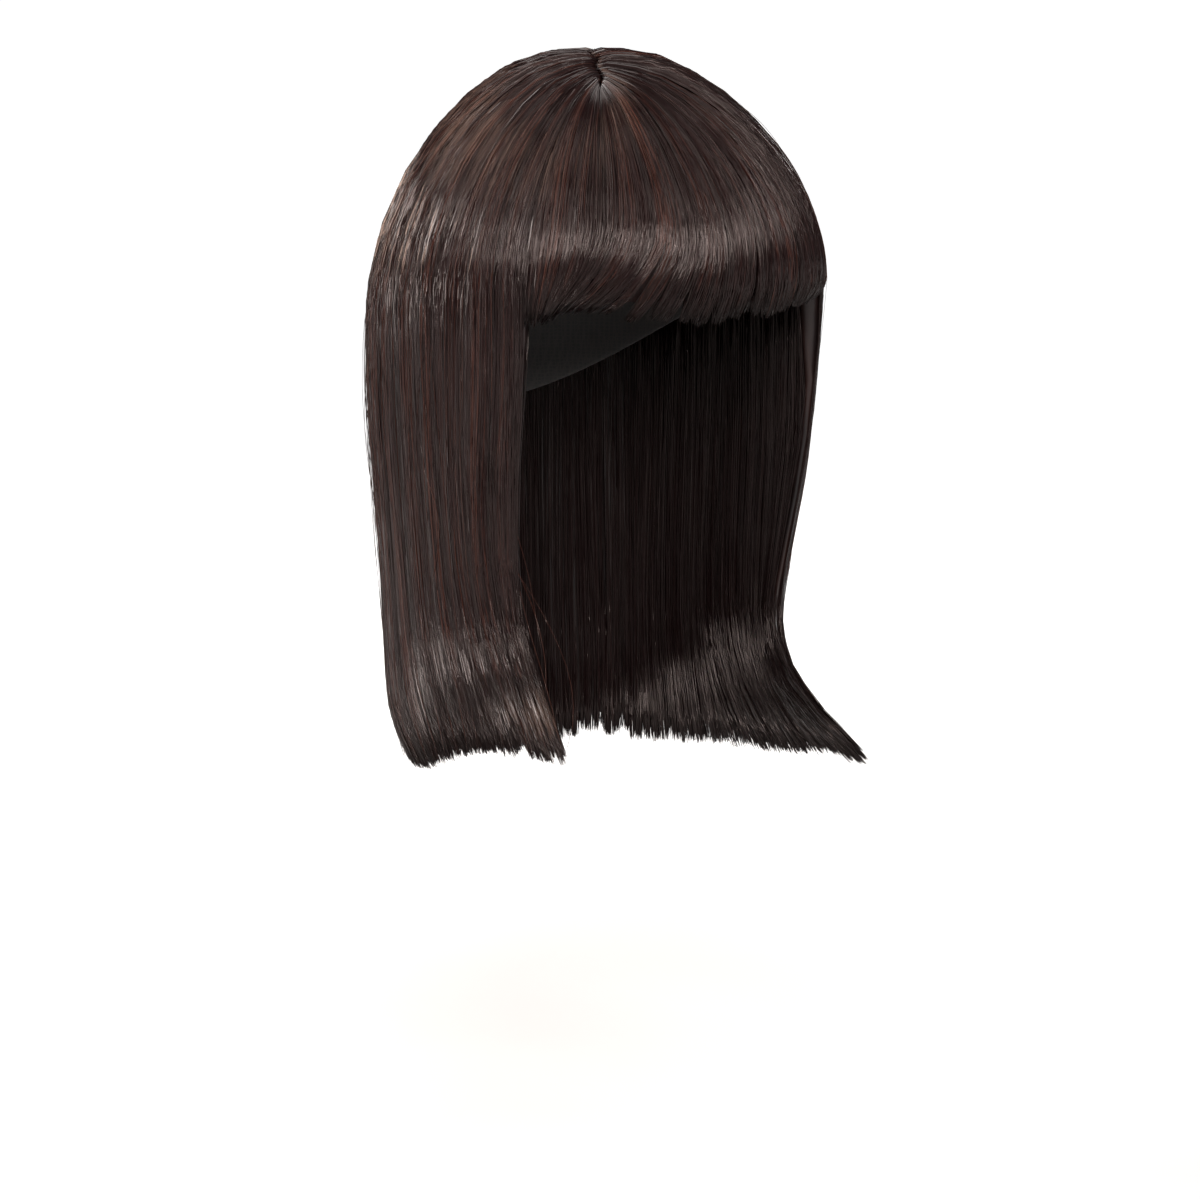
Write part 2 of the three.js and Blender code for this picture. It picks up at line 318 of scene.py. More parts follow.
# Nylon stretch net, knitted and heat set: dull, nearly black, with a fine regular mesh.
NET_PITCH = 1.6  # the real mesh is about 0.8 mm, drawn twice as coarse so that it shows
stretch_net = new_material("nylon_stretch_net_knitted")
net_place = add_node(stretch_net, "ShaderNodeTexCoord")
net_cells = add_node(
    stretch_net,
    "ShaderNodeTexVoronoi",
    {"feature": "DISTANCE_TO_EDGE"},
    {"Vector": net_place.outputs["Object"]},
    Scale=1 / (NET_PITCH * MM),
    Randomness=0.25,
)
net_yarn = add_node(stretch_net, "ShaderNodeValToRGB", links={"Fac": net_cells.outputs["Distance"]})
net_yarn.color_ramp.elements[0].color = srgb("#1B1614")
net_yarn.color_ramp.elements[1].color = srgb("#0A0808")
net_yarn.color_ramp.elements[1].position = 0.22
net_bump = add_node(
    stretch_net,
    "ShaderNodeBump",
    {"invert": True},
    {"Height": net_cells.outputs["Distance"]},
    Strength=0.6,
    Distance=0.3 * MM,
)
finish_material(
    stretch_net,
    add_node(
        stretch_net,
        "ShaderNodeBsdfPrincipled",
        links={"Base Color": net_yarn.outputs["Color"], "Normal": net_bump.outputs["Normal"]},
        Roughness=0.8,
        Sheen_Weight=0.05,
    ),
)

# From the crown down the outside, round the rim's edge and up the inside
cap_down = np.linspace(0, 1, CAP_ROWS + 1)[1:]
edge_turn = np.linspace(0, np.pi, CAP_EDGE_ROWS + 2)[1:-1]
cap_profile = np.concatenate(
    [
        np.stack([cap_down, np.full(CAP_ROWS, CAP_WALL)], -1),
        np.stack(
            [1 + CAP_EDGE_BULGE * np.sin(edge_turn), CAP_WALL / 2 * (1 + np.cos(edge_turn))], -1
        ),
        np.stack([cap_down[::-1], np.zeros(CAP_ROWS)], -1),
    ]
)
cap_angles = np.linspace(-np.pi, np.pi, CAP_COLUMNS, endpoint=False)
cap_rings = cap_point(cap_angles[None, :], cap_profile[:, :1], cap_profile[:, 1:])
cap_points = np.concatenate([cap_rings.reshape(-1, 3), [(0, 0, CAP_WALL), (0, 0, 0)]])
crown_outside, crown_inside = len(cap_points) - 2, len(cap_points) - 1
around = np.arange(CAP_COLUMNS)
after = (around + 1) % CAP_COLUMNS
last_ring = (len(cap_profile) - 1) * CAP_COLUMNS
crown_fans = np.concatenate(
    [
        np.stack([np.full(CAP_COLUMNS, crown_outside), around, after], -1),
        np.stack([np.full(CAP_COLUMNS, crown_inside), last_ring + after, last_ring + around], -1),
    ]
)
cap = new_mesh_object(
    "cap_net", cap_points, [ring_faces(len(cap_profile), CAP_COLUMNS), crown_fans], stretch_net
)
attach(cap, "root")
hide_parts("cap")

# Parting strip

# A narrow strip of close-woven cloth along the parting, sewn flat on the cap.
# It is what shows, dark, between the hairs that spring from both sides of the line.

PARTING_LENGTH = 38.0
PARTING_TURN = np.radians(-28)
PARTING_CENTRE = np.array([-7.0, -11.0])
STRIP_WIDTH = 5.0
STRIP_THICKNESS = 1.0
STRIP_CLEARANCE = 0.3
STRIP_TAPER = 0.9
STRIP_ROWS = 40
STRIP_SECTION_POINTS = 16
STRIP_EDGE_SQUARENESS = 0.5

parting_ahead = np.array([np.sin(PARTING_TURN), -np.cos(PARTING_TURN)])
parting_aside = np.array([-parting_ahead[1], parting_ahead[0]])

# Polyester tape, plain woven: matt, dark brown, with a fine weave.
TAPE_PITCH = 0.5  # from thread to thread
woven_tape = new_material("polyester_tape_woven")
tape_place = add_node(woven_tape, "ShaderNodeTexCoord")
tape_threads = add_node(
    woven_tape,
    "ShaderNodeTexBrick",
    {"offset": 0.5},
    {"Vector": tape_place.outputs["Object"]},
    Scale=1 / (TAPE_PITCH * MM),
    Mortar_Size=0.06,
    Brick_Width=1.0,
    Row_Height=0.5,
)
tape_threads.inputs["Color1"].default_value = srgb("#2A201D")
tape_threads.inputs["Color2"].default_value = srgb("#231A18")
tape_threads.inputs["Mortar"].default_value = srgb("#120D0C")
tape_bump = add_node(
    woven_tape,
    "ShaderNodeBump",
    {"invert": True},
    {"Height": tape_threads.outputs["Fac"]},
    Strength=0.5,
    Distance=0.1 * MM,
)
finish_material(
    woven_tape,
    add_node(
        woven_tape,
        "ShaderNodeBsdfPrincipled",
        links={"Base Color": tape_threads.outputs["Color"], "Normal": tape_bump.outputs["Normal"]},
        Roughness=0.85,
    ),
)

strip_on = np.linspace(-1, 1, STRIP_ROWS)[:, None]
strip_turn = np.linspace(0, 2 * np.pi, STRIP_SECTION_POINTS, endpoint=False)[None, :]
strip_half_width = STRIP_WIDTH / 2 * np.sqrt(1 - STRIP_TAPER * strip_on**4)
strip_section = np.stack([np.cos(strip_turn), np.sin(strip_turn)])
strip_section = np.sign(strip_section) * np.abs(strip_section) ** STRIP_EDGE_SQUARENESS
strip_side = strip_half_width * strip_section[0]
strip_lift = CAP_WALL + STRIP_CLEARANCE + STRIP_THICKNESS / 2 * (1 + strip_section[1])
strip_ahead = strip_on * PARTING_LENGTH / 2
strip_x, strip_y = (
    PARTING_CENTRE[i] + parting_ahead[i] * strip_ahead + parting_aside[i] * strip_side
    for i in (0, 1)
)
strip_ends = np.stack(
    [
        np.arange(STRIP_SECTION_POINTS),
        np.arange(STRIP_SECTION_POINTS)[::-1] + (STRIP_ROWS - 1) * STRIP_SECTION_POINTS,
    ]
)
strip = new_mesh_object(
    "parting_tape",
    dome_point(strip_x, strip_y, strip_lift * np.ones_like(strip_x)).reshape(-1, 3),
    [ring_faces(STRIP_ROWS, STRIP_SECTION_POINTS)[:, ::-1], strip_ends],
    woven_tape,
)
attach(strip, "root")
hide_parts("parting_strip")

# Fringe

# The front hair, combed forward from the parting and cut straight across.
# Like all the hair it is modacrylic fibre, machine sewn in rows and knotted by hand at the parting.

CAP_CLEARANCE = 0.8
HAIR_INSIDE = CAP_WALL + CAP_CLEARANCE
HAIR_THICKNESS = 11.7
HAIR_OUTSIDE = HAIR_INSIDE + HAIR_THICKNESS
FRINGE_CORNER = 50.0
FRINGE_DROP = 17.0
FRINGE_END_THICKNESS = 5.0
FRINGE_TURN_UNDER = 3.0
FRINGE_NOTCH = 1.0
SIDE_OVERLAP = 1.2  # how far the fringe stands off where it is swept over the side hair
OVERLAP_OUTSIDE, OVERLAP_INSIDE = 4.0, 8.0  # degrees on both sides of the corner where that is
PARTING_START = 0.4 / (HEAD_HALF_WIDTH + HAIR_OUTSIDE)  # share of the way out where hair starts
PARTING_OPEN = 13.0  # how far the hair still lies parted ahead of the strip
PARTING_JAG, PARTING_JAG_LENGTH = 1.1, 19.0
PARTING_DIP = 0.78
PARTING_RISE = 0.22
GROOVE_DEPTH = 0.7
GROOVE_FROM, GROOVE_TO = 0.05, 0.7
LOCK_ROUNDNESS = 0.7
CROWN_LENGTH = 150.0  # over the crown from the parting to the widest level
WISP_WIDTH = 1.7
WISP_LIFT = 0.018  # how unevenly wisps lie, as a share of the hair's thickness
WISP_LENGTH_SPREAD = 0.8
WISP_MARGIN = 0.008  # how far past its edges a section's wisps go, as a share of its width
# The long waves that neighbours share: size, and length across and along the hair
DRIFT_WAVES = ((0.9, 19.0, 60.0), (0.6, 8.0, -38.0), (0.3, 3.1, 27.0))
DRIFT_FROM, DRIFT_TO = 15.0, 110.0  # from the parting
STATIONS = np.linspace(-0.05, 2.15, 221)  # way at which the points of strands are counted

# Angle from straight ahead, and share of the fringe's drop
FRINGE_HEM = np.array(
    [(-50, 1.15), (-36, 0.8), (-14, 1.03), (12, 0.94), (32, 0.8), (50, 0.88)]
)
# The locks from the wearer's right to left: width, height of the ridge, length of the tip
FRINGE_LOCKS = np.array(
    [
        (1.1, 1.0, 1.0),
        (0.8, 0.7, 0.6),
        (1.2, 0.9, 1.1),
        (0.9, 1.1, 0.8),
        (1.1, 0.8, 1.3),
        (0.8, 1.0, 0.7),
        (1.2, 0.8, 1.1),
        (1.0, 1.0, 0.9),
        (0.8, 0.8, 1.2),
        (1.1, 1.0, 0.7),
    ]
)
# Way along the hair, as Section counts it, and the space there between the points of a strand
FRINGE_SPACING = np.array([(0.0, 2.0), (0.04, 3.0), (0.12, 12.0), (1.0, 14.0), (2.0, 9.0)])
# Layers of hair from the outside in: strands, points in each, depth from and to, way where they
# start from and to, and tone from and to. The deeper layers keep to lower tones, the innermost to
# the
# darkest: painted shade on the inside of the hair.
FRINGE_LAYERS = (
    (760, 16, 0.00, 0.05, 0.0, 0.0, 0.0, 1.0),
    (1300, 12, 0.00, 0.08, 0.15, 0.7, 0.0, 1.0),
    (750, 6, 0.05, 0.95, 0.75, 0.95, 0.0, 0.8),
    (250, 8, 0.9, 1.0, 0.3, 0.6, 0.0, 0.3),
)


def along_rows(rows, column, at):
    """A smooth curve through a table whose first column is what the others depend on."""
    xs, ys = rows[:, 0], rows[:, column]
    inside = np.clip(at, xs[0], xs[-1])
    i = np.clip(np.searchsorted(xs, inside, side="right") - 1, 0, len(xs) - 2)
    before = np.maximum(np.arange(len(xs)) - 1, 0)
    after = np.minimum(np.arange(len(xs)) + 1, len(xs) - 1)
    slopes = (ys[after] - ys[before]) / (xs[after] - xs[before])
    span = xs[i + 1] - xs[i]
    t = (inside - xs[i]) / span
    return (
        (2 * t**3 - 3 * t**2 + 1) * ys[i]
        + (t**3 - 2 * t**2 + t) * span * slopes[i]
        + (3 * t**2 - 2 * t**3) * ys[i + 1]
        + (t**3 - t**2) * span * slopes[i + 1]
        + (at - inside) * slopes[-1]
    )


def crown_point(angle, reach, lift):
    """Hair on the crown, with reach from 0 at the parting to 1 at the widest level."""
    ahead = 1 - 2 * np.abs((angle - PARTING_TURN + np.pi) % (2 * np.pi) - np.pi) / np.pi
    root = ahead * (PARTING_LENGTH / 2 + np.where(ahead > 0, PARTING_OPEN, 0))
    jagged = PARTING_JAG * np.arcsin(np.sin(2 * np.pi * root / PARTING_JAG_LENGTH)) / (np.pi / 2)
    root_x = PARTING_CENTRE[0] + parting_ahead[0] * root + parting_aside[0] * jagged
    root_y = PARTING_CENTRE[1] + parting_ahead[1] * root + parting_aside[1] * jagged
    x, y = outline(angle, lift)
    return dome_point(lerp(root_x, x, reach), lerp(root_y, y, reach), lift)


def fringe_point(angle, share, drop, lift):
    turn = np.clip(np.degrees(angle), -FRINGE_CORNER, FRINGE_CORNER)
    over = 1 - smoothstep(
        np.degrees(angle), -FRINGE_CORNER - OVERLAP_OUTSIDE, -FRINGE_CORNER + OVERLAP_INSIDE
    )
    lift = lift - lerp(FRINGE_TURN_UNDER, -SIDE_OVERLAP, over) * share**2
    x, y = outline(angle, lift)
    hem = -BROW_DEPTH - FRINGE_DROP * along_rows(FRINGE_HEM, 1, turn) - drop
    return np.stack([x, y, lerp(widest_level(y, lift), hem, share)], -1)


class Section:
    """One section of hair between two angles, in degrees: its outer form, and how it is combed.

    Way is 0 at the parting, 1 at the widest level and 2 at the hem. Across runs from 0 at the low
    angle to 1 at the high one. Depth is a share of the hair's thickness, 0 outside.
    """

    def __init__(
        self, low, high, locks, notch, end_thickness, hanging_point, hang_length, spacing, seed
    ):
        self.low, self.high = low, high
        self.notch, self.end_thickness = notch, end_thickness
        self.hanging_point, self.hang_length = hanging_point, hang_length
        self.front_edge = None
        self.locks = locks
        lock_widths = locks[:, 0]
        self.lock_edges = np.concatenate([[0], np.cumsum(lock_widths)]) / lock_widths.sum()
        self.width = np.radians(high - low) * (HEAD_HALF_WIDTH + HAIR_OUTSIDE)
        apart = np.interp(STATIONS, spacing[:, 0], spacing[:, 1])
        self.steps = np.cumsum(np.gradient(self.distance(STATIONS)) / apart)
        rng = np.random.default_rng(seed)
        wisps = int(self.width / WISP_WIDTH)
        self.wisps = np.sort(rng.uniform(-WISP_MARGIN, 1 + WISP_MARGIN, wisps))
        self.wisp_lift = rng.normal(0, WISP_LIFT, wisps)
        self.wisp_tone = rng.uniform(0, 1, wisps)
        self.wisp_longer = rng.normal(0, WISP_LENGTH_SPREAD, wisps)
        self.drift_phase = rng.uniform(0, 2 * np.pi, len(DRIFT_WAVES))

    def distance(self, way):
        """Millimetres from the parting."""
        return np.where(way < 1, way * CROWN_LENGTH, CROWN_LENGTH + (way - 1) * self.hang_length)

    def ways(self, first, last, count):
        """Where the points of a strand lie from first to last, closer where the hair bends."""
        low, high = (np.interp(way, STATIONS, self.steps) for way in (first, last))
        return np.interp(lerp(low, high, np.linspace(0, 1, count)), self.steps, STATIONS)

    def drift(self, across, distance):
        """How far the comb led the hair aside, in millimetres."""
        place = across * self.width
        waves = sum(
            size * np.sin(place / length_across + distance / length_along + phase)
            for (size, length_across, length_along), phase in zip(DRIFT_WAVES, self.drift_phase)
        )
        return waves * smoothstep(distance, DRIFT_FROM, DRIFT_TO)

    def relief(self, across):
        """Height of the ridge and length of the tip, both as shares."""
        across = np.clip(across, 0, 1 - 1e-6)
        lock = np.searchsorted(self.lock_edges, across, side="right") - 1
        first, last = self.lock_edges[lock], self.lock_edges[lock + 1]
        within = (across - first) / (last - first)
        ridge = np.sin(np.pi * within) ** LOCK_ROUNDNESS
        return ridge * self.locks[lock, 1], ridge * self.locks[lock, 2]

    def points(self, across, way, depth):
        """Points in the hair, in millimetres."""
        angle = np.radians(lerp(self.low, self.high, across))
        on_crown = np.minimum(way, 1)
        hanging = np.maximum(way - 1, 0)
        ridge, tip = self.relief(across)
        groove = GROOVE_DEPTH * smoothstep(on_crown, GROOVE_FROM, GROOVE_TO) * (1 - ridge)
        thick = lerp(HAIR_THICKNESS, self.end_thickness, np.minimum(hanging, 1))
        if self.front_edge is not None:
            from_edge = np.abs(np.degrees(angle) - self.front_edge)
            edged = lerp(FRONT_EDGE_THICKNESS, thick, smoothstep(from_edge, 0, FRONT_EDGE_WIDTH))
            thick = lerp(thick, edged, smoothstep(hanging, 0, FRONT_EDGE_START))
        rising = lerp(PARTING_DIP, 1, smoothstep(on_crown, 0, PARTING_RISE))
        outside = HAIR_INSIDE + HAIR_THICKNESS * rising - groove
        inside = HAIR_INSIDE + HAIR_THICKNESS - thick
        lift = lerp(outside, np.minimum(inside, outside), depth)
        reach = lerp(PARTING_START, 1, np.sin(on_crown * np.pi / 2))
        crown = crown_point(angle, reach, lift)
        hang = self.hanging_point(angle, hanging, -self.notch * (1 - tip), lift)
        return np.where((way <= 1)[..., None], crown, hang)


STRAND_MARGIN = 0.01  # how far past its edges a section's strands go, as a share of its width
LENGTH_SPREAD = 1.4
SHORTEST, LONGEST = -3.0, 1.2  # times the spread
WISP_POINT = 0.45  # how much shorter hair is cut for each mm from the middle of its wisp
ROOT_RAGGED = 0.5
ROOT_RAGGED_BACK, ROOT_RAGGED_AHEAD = -0.01, 0.02  # at most, as way
ROOT_LENGTH = 5.0  # from the cloth of the parting up to the surface of the hair
ROOT_DEPTH = 0.14
SEWN_ROOT_LENGTH = 22.0
SEWN_ROOT_DEPTH = 0.14
# A strand's own waves: size and length, then how far it leans aside over a long way
OWN_WAVES = ((0.3, 42.0), (0.12, 14.0))
LEAN, LEAN_LENGTH = 0.9, 300.0
# Strands close up to the middle of their wisp, half slowly and half near the tip
GATHER_LENGTHS = (60.0, 14.0)
# Ways that a strand goes in and out, as shares of the hair's thickness
RIPPLE, RIPPLE_LENGTH = 0.012, 25.0
SPLAY, SPLAY_LENGTH = 0.05, 25.0
TURN_UNDER, TURN_UNDER_LENGTH = 0.3, 18.0  # the ends are ironed slightly inwards
DEPTH_LIMITS = (-0.06, 1.0)
OWN_TONE = 0.72  # how much a strand differs in tone from the wisp around it
GROOVE_SHADE_TONE = 0.4  # painted shade between the locks: tone there as a share of that on a ridge


def near_end(to_end, length, power):
    """Grows from 0 at a length before the hem to 1 there."""
    return np.clip(1 - to_end / length, 0, 1.1) ** power


def comb(section, seed, count, points, depths, starts, tones, gather=0.45, sweep=None):
    """Paths of strands, as strands x points x 3, and the tone of each strand."""
    rng = np.random.default_rng(seed)
    across = rng.uniform(-STRAND_MARGIN, 1 + STRAND_MARGIN, count)
    wisp = np.searchsorted((section.wisps[1:] + section.wisps[:-1]) / 2, across)
    longer = rng.normal(0, LENGTH_SPREAD, count)
    longer = longer.clip(SHORTEST * LENGTH_SPREAD, LONGEST * LENGTH_SPREAD)
    longer += section.wisp_longer[wisp]
    longer -= WISP_POINT * np.abs(section.wisps[wisp] - across) * section.width
    start = rng.uniform(*starts, count)
    from_parting = starts[1] == 0
    if from_parting:
        ragged = rng.normal(0, ROOT_RAGGED / CROWN_LENGTH, len(section.wisps))[wisp]
        start = start + ragged.clip(ROOT_RAGGED_BACK, ROOT_RAGGED_AHEAD)
    way = section.ways(start[:, None], 2 + longer[:, None] / section.hang_length, points)
    distance = section.distance(way)
    so_far = distance - distance[:, :1]
    to_end = section.distance(np.float64(2.0)) - distance

    phase = rng.uniform(0, 2 * np.pi, (3, count, 1))
    size = rng.normal(0, 1, (5, count, 1))
    own = LEAN * size[2] * so_far / LEAN_LENGTH + sum(
        wave * size[i] * np.sin(distance / length + phase[i])
        for i, (wave, length) in enumerate(OWN_WAVES)
    )
    halves = [smoothstep(-to_end, -length, 0) for length in GATHER_LENGTHS]
    closing = sum(halves) / len(halves)
    toward = (section.wisps[wisp] - across)[:, None] * gather * closing
    aside = own + section.drift(across[:, None], distance)
    side = across[:, None] + toward + aside / section.width
    if sweep is not None:
        side = side + sweep(side, to_end)

    depth = rng.uniform(*depths, count) + section.wisp_lift[wisp]
    ripple = RIPPLE * size[3] * np.sin(distance / RIPPLE_LENGTH + phase[2])
    splaying = SPLAY * size[4] * smoothstep(-to_end, -SPLAY_LENGTH, 0)
    if from_parting:
        root_depth, root_length = ROOT_DEPTH, ROOT_LENGTH
    else:
        root_depth, root_length = SEWN_ROOT_DEPTH * (1 - depth[:, None]), SEWN_ROOT_LENGTH
    emerging = root_depth * (1 - smoothstep(so_far, 0, root_length))
    ironed = TURN_UNDER * near_end(to_end, TURN_UNDER_LENGTH, 2)
    under = np.clip(depth[:, None] + ripple + splaying + emerging + ironed, *DEPTH_LIMITS)
    paths = section.points(side, way, under)
    tone = lerp(section.wisp_tone[wisp], rng.uniform(0, 1, count), OWN_TONE)
    # Painted shade: strands are darkened towards the edges of their lock, in the grooves between
    # locks
    tone *= lerp(GROOVE_SHADE_TONE, 1, section.relief(across)[0])
    return paths, lerp(tones[0], tones[1], tone)


STRAND_RADIUS = 0.25
STRAND_SIDES = 3
STRAND_UNEVENNESS = 0.25  # how much strands differ in thickness
# Shares of a strand's length over which it thins, and how thin it ends
ROOT_SHARE, ROOT_THIN = 0.03, 0.3
TIP_SHARE, TIP_THIN = 0.055, 0.35
STRAND_TURN = np.pi / 2  # one edge lies outwards, so that the shine runs on from strand to strand
TURN_SPREAD = 0.4
MAP_MARGIN = np.array([0.1, 0.05])  # round a strand in its cell of the map
MAP_END = 0.02  # where a strand's closed ends lie in it, from the cell's edge
MAP_END_HEIGHT = 0.03


def strands(name, groups, seed, material, radius=STRAND_RADIUS):
    """One mesh of closed three-sided strands that thin towards their ends."""
    rng = np.random.default_rng(seed)
    points, quads, ends, fibre, quad_map, end_map = [], [], [], [], [], []
    total = sum(len(paths) for paths, _ in groups)
    columns = int(np.ceil(np.sqrt(total * 2)))
    rows = int(np.ceil(total / columns))
    made, first = 0, 0
    for paths, tone in groups:
        count, samples, _ = paths.shape
        along = np.gradient(paths, axis=1)
        along /= np.linalg.norm(along, axis=-1, keepdims=True)
        out = paths * (1, 1, 0)
        out[..., 2] = np.maximum(paths[..., 2] + BROW_DEPTH, 0)
        side = np.cross(along, out)
        side /= np.linalg.norm(side, axis=-1, keepdims=True)
        up = np.cross(side, along)
        share = np.linspace(0, 1, samples)[None, :]
        thick = rng.uniform(1 - STRAND_UNEVENNESS, 1 + STRAND_UNEVENNESS, (count, 1)) * radius
        thin = np.minimum(
            lerp(ROOT_THIN, 1, smoothstep(share, 0, ROOT_SHARE)),
            lerp(TIP_THIN, 1, smoothstep(1 - share, 0, TIP_SHARE)),
        )
        turn = STRAND_TURN + rng.normal(0, TURN_SPREAD, (count, 1, 1))
        turn = turn + np.arange(STRAND_SIDES) * 2 * np.pi / STRAND_SIDES
        wide = (thick * thin)[:, :, None, None]
        ring = paths[:, :, None] + wide * (
            np.cos(turn)[..., None] * side[:, :, None] + np.sin(turn)[..., None] * up[:, :, None]
        )
        points.append(ring.reshape(-1, 3))
        strand = first + np.arange(count)[:, None, None] * samples * STRAND_SIDES
        step = np.arange(samples - 1)[None, :, None] * STRAND_SIDES
        edge = np.arange(STRAND_SIDES)[None, None, :]
        following = (edge + 1) % STRAND_SIDES
        low, high = strand + step, strand + step + STRAND_SIDES
        corners = [low + edge, low + following, high + following, high + edge]
        quads.append(np.stack(corners, -1).reshape(-1, 4))
        last = (samples - 1) * STRAND_SIDES
        root, tip = strand[..., 0], strand[..., 0] + last
        ends.append(np.concatenate([root + (2, 1, 0), tip + (0, 1, 2)]))
        random = rng.uniform(0, 1, count)
        values = np.stack(np.broadcast_arrays(tone[:, None], share, random[:, None]), -1)
        fibre.append(np.repeat(values.reshape(-1, 3), STRAND_SIDES, axis=0))

        # Each strand has a cell of its own in the map, unrolled across it and laid along it
        cell = (made + np.arange(count))[:, None, None, None]
        cell_x, cell_y = cell % columns, cell // columns
        across = (edge[..., None] + np.array([0, 1, 1, 0])) / STRAND_SIDES
        piece = np.arange(samples - 1)[None, :, None, None]
        lengthways = (piece + np.array([0, 0, 1, 1])) / (samples - 1)
        shape = (count, samples - 1, STRAND_SIDES, 4)
        inner_width, inner_height = 1 - 2 * MAP_MARGIN
        quad_u = np.broadcast_to((cell_x + MAP_MARGIN[0] + inner_width * across) / columns, shape)
        quad_v = np.broadcast_to((cell_y + MAP_MARGIN[1] + inner_height * lengthways) / rows, shape)
        quad_map.append(np.stack([quad_u, quad_v], -1).reshape(-1, 2))
        end_u = cell_x[:, 0, 0] + np.array([0.2, 0.5, 0.8])
        end_rise = MAP_END + MAP_END_HEIGHT * np.array([0, 1, 0])
        root_map, tip_map = (
            np.stack([end_u, cell_y[:, 0, 0] + end_v], -1).reshape(-1, 2)
            for end_v in (end_rise, 1 - end_rise)
        )
        end_map.append(np.concatenate([root_map, tip_map]) / (columns, rows))
        first += count * samples * STRAND_SIDES
        made += count
    thing = new_mesh_object(
        name, np.concatenate(points), [np.concatenate(quads), np.concatenate(ends)], material
    )
    set_vectors(thing, "fibre", np.concatenate(fibre))
    layer = thing.data.uv_layers.new(name="OFBake")
    layer.data.foreach_set("uv", np.concatenate(quad_map + end_map).astype(np.float32).ravel())
    return thing


# Modacrylic fibre, spun, dyed dark brown and heat set straight: a satin shine in bands across the
# strands, with some of them dyed a little lighter, and ends darkened as painted shade.
STRAND_DARK, STRAND_BROWN, STRAND_LIGHT = "#090505", "#130808", "#2D1711"
DYE_PATCHES_ALONG = 9.0  # patches of darker and lighter dye along a strand
DYE_UNEVENNESS = 0.3
END_SHADE_FROM, END_SHADE_TO = 0.79, 0.91  # shares of a strand's length
END_SHADE = 0.75
modacrylic = new_material("modacrylic_fibre_heat_set")
fibre = add_node(modacrylic, "ShaderNodeAttribute", {"attribute_name": "fibre"})
fibre_parts = add_node(
    modacrylic, "ShaderNodeSeparateXYZ", links={"Vector": fibre.outputs["Vector"]}
)
dye_patches = add_node(
    modacrylic,
    "ShaderNodeTexNoise",
    links={"Vector": fibre.outputs["Vector"]},
    Scale=DYE_PATCHES_ALONG,
    Detail=2.0,
)
dye = add_node(
    modacrylic,
    "ShaderNodeMath",
    {"operation": "MULTIPLY_ADD"},
    {0: dye_patches.outputs["Fac"], 2: fibre_parts.outputs["X"]},
)
dye.inputs[1].default_value = DYE_UNEVENNESS
# Painted shade: the base colour darkens towards the end of each strand
end_shade_share = add_node(
    modacrylic,
    "ShaderNodeMapRange",
    {"interpolation_type": "SMOOTHSTEP"},
    {"Value": fibre_parts.outputs["Y"]},
    From_Min=END_SHADE_FROM,
    From_Max=END_SHADE_TO,
    To_Max=END_SHADE,
)
dye_colour = add_node(modacrylic, "ShaderNodeValToRGB", links={"Fac": dye.outputs[0]})
dye_ramp = dye_colour.color_ramp
dye_ramp.elements[0].position, dye_ramp.elements[0].color = 0.15, srgb(STRAND_DARK)
dye_ramp.elements[1].position, dye_ramp.elements[1].color = 1.15, srgb(STRAND_LIGHT)
dye_ramp.elements.new(0.75).color = srgb(STRAND_BROWN)
end_shaded_colour = add_node(
    modacrylic,
    "ShaderNodeMix",
    {"data_type": "RGBA"},
    {"Factor": end_shade_share.outputs["Result"], "A": dye_colour.outputs["Color"]},
)
end_shaded_colour.inputs["B"].default_value = srgb(STRAND_DARK)
satin = add_node(
    modacrylic,
    "ShaderNodeMapRange",
    links={"Value": fibre_parts.outputs["Z"]},
    To_Min=0.10,
    To_Max=0.31,
)
finish_material(
    modacrylic,
    add_node(
        modacrylic,
        "ShaderNodeBsdfPrincipled",
        links={"Base Color": end_shaded_colour.outputs["Result"], "Roughness": satin.outputs["Result"]},
        IOR=1.45,
        Specular_IOR_Level=0.27,
        Specular_Tint=srgb("#FFECE6"),
    ),
)

# The same fibre where it lies packed under the strands that show: streaks, with narrow dark gaps
# that are painted shade between the fibres.
STREAK_WIDTH = 0.45  # a fibre is about 0.07 mm, drawn as coarse as the strands above it
STREAK_LENGTH = 35.0
packed = new_material("modacrylic_fibre_packed")
combed = add_node(packed, "ShaderNodeAttribute", {"attribute_name": "combed"})
streak_place = add_node(
    packed, "ShaderNodeVectorMath", {"operation": "MULTIPLY"}, {0: combed.outputs["Vector"]}
)
streak_place.inputs[1].default_value = (1 / STREAK_WIDTH, 1 / STREAK_LENGTH, 1.0)
streaks = add_node(
    packed, "ShaderNodeTexNoise", links={"Vector": streak_place.outputs[0]}, Scale=1.0, Detail=2.0
)
packed_colour = add_node(packed, "ShaderNodeValToRGB", links={"Fac": streaks.outputs["Fac"]})
# The dark end of the ramp is painted shade in the gaps between streaks
packed_colour.color_ramp.elements[0].position = 0.38
packed_colour.color_ramp.elements[0].color = srgb("#0A0606")
packed_colour.color_ramp.elements[1].position = 0.72
packed_colour.color_ramp.elements[1].color = srgb("#1A0E0C")
packed_bump = add_node(
    packed,
    "ShaderNodeBump",
    links={"Height": streaks.outputs["Fac"]},
    Strength=0.8,
    Distance=0.3 * MM,
)
finish_material(
    packed,
    add_node(
        packed,
        "ShaderNodeBsdfPrincipled",
        links={
            "Base Color": packed_colour.outputs["Color"],
            "Normal": packed_bump.outputs["Normal"],
        },
        Roughness=0.35,
        IOR=1.45,
        Specular_IOR_Level=0.22,
    ),
)

PACKED_OUTSIDE, PACKED_INSIDE = 0.085, 0.84  # depths
PACKED_END_OUTSIDE, PACKED_END_INSIDE = 0.4, 0.5
PACKED_SHORTER = 8.0  # than the strands
PACKED_TAPER = 22.0
PACKED_START = 0.02  # as way
PACKED_MARGIN = 0.004  # from the section's edges, as a share of its width


